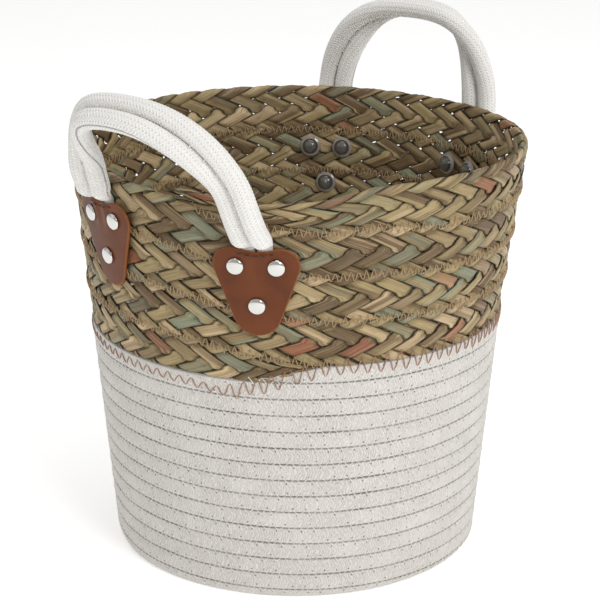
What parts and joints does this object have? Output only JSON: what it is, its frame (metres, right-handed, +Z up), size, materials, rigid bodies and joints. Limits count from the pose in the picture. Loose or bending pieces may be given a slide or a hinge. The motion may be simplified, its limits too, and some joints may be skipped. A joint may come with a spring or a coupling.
{
  "type": "storage basket",
  "caption": "Round tapered storage basket with a coiled cotton rope base and lower wall, a wide seagrass plait upper wall, and standing rope handles under riveted leather patches.",
  "frame": {"origin": "centre of the underside of the base, on the basket's axis, where the basket rests", "axes": "+Z up along the basket's axis; the handles stand over the -Y side, which is the front, and the +Y side; +X is to the right seen from the front"},
  "size_m": [0.2622, 0.3219, 0.306],
  "materials": {
    "cotton_rope": "braided cotton cord, matt",
    "handle_rope": "knitted cotton rope, matt",
    "seagrass": "dried seagrass leaf, satin",
    "white_thread": "polyester sewing thread",
    "tan_thread": "polyester sewing thread",
    "brown_thread": "polyester sewing thread",
    "dark_thread": "waxed thread",
    "leather": "smooth vegetable-tanned leather, satin",
    "rivet_metal": "nickel-plated, polished",
    "clear_plastic": "clear moulded plastic"
  },
  "bodies": {
    "basket": {"base_coil": "cotton_rope", "wall_coil": "cotton_rope", "seagrass_plait": "seagrass", "coil_thread": "white_thread", "plait_thread": "tan_thread", "seam_thread": "brown_thread", "front_left_patch": "leather", "front_right_patch": "leather", "back_left_patch": "leather", "back_right_patch": "leather", "front_left_stitches": "dark_thread", "front_right_stitches": "dark_thread", "back_left_stitches": "dark_thread", "back_right_stitches": "dark_thread", "front_left_rivets": "rivet_metal", "front_right_rivets": "rivet_metal", "back_left_rivets": "rivet_metal", "back_right_rivets": "rivet_metal", "front_left_rivet_backs": "clear_plastic", "front_right_rivet_backs": "clear_plastic", "back_left_rivet_backs": "clear_plastic", "back_right_rivet_backs": "clear_plastic", "front_left_rope_ends": "handle_rope", "front_right_rope_ends": "handle_rope", "back_left_rope_ends": "handle_rope", "back_right_rope_ends": "handle_rope"},
    "front_handle": {"front_handle_outer_rope": "handle_rope", "front_handle_inner_rope": "handle_rope", "front_handle_thread": "white_thread"},
    "back_handle": {"back_handle_outer_rope": "handle_rope", "back_handle_inner_rope": "handle_rope", "back_handle_thread": "white_thread"}
  },
  "joints": [
    {"name": "front_handle_fold", "type": "hinge", "parent": "basket", "child": "front_handle", "pos_m": [0, -0.13876, 0.248], "axis": [1, 0, 0], "range_deg": [-85, 55], "stiffness_Nm_per_rad": 0.25},
    {"name": "back_handle_fold", "type": "hinge", "parent": "basket", "child": "back_handle", "pos_m": [0, 0.13101, 0.248], "axis": [-1, 0, 0], "range_deg": [-63, 82], "stiffness_Nm_per_rad": 0.25}
  ]
}
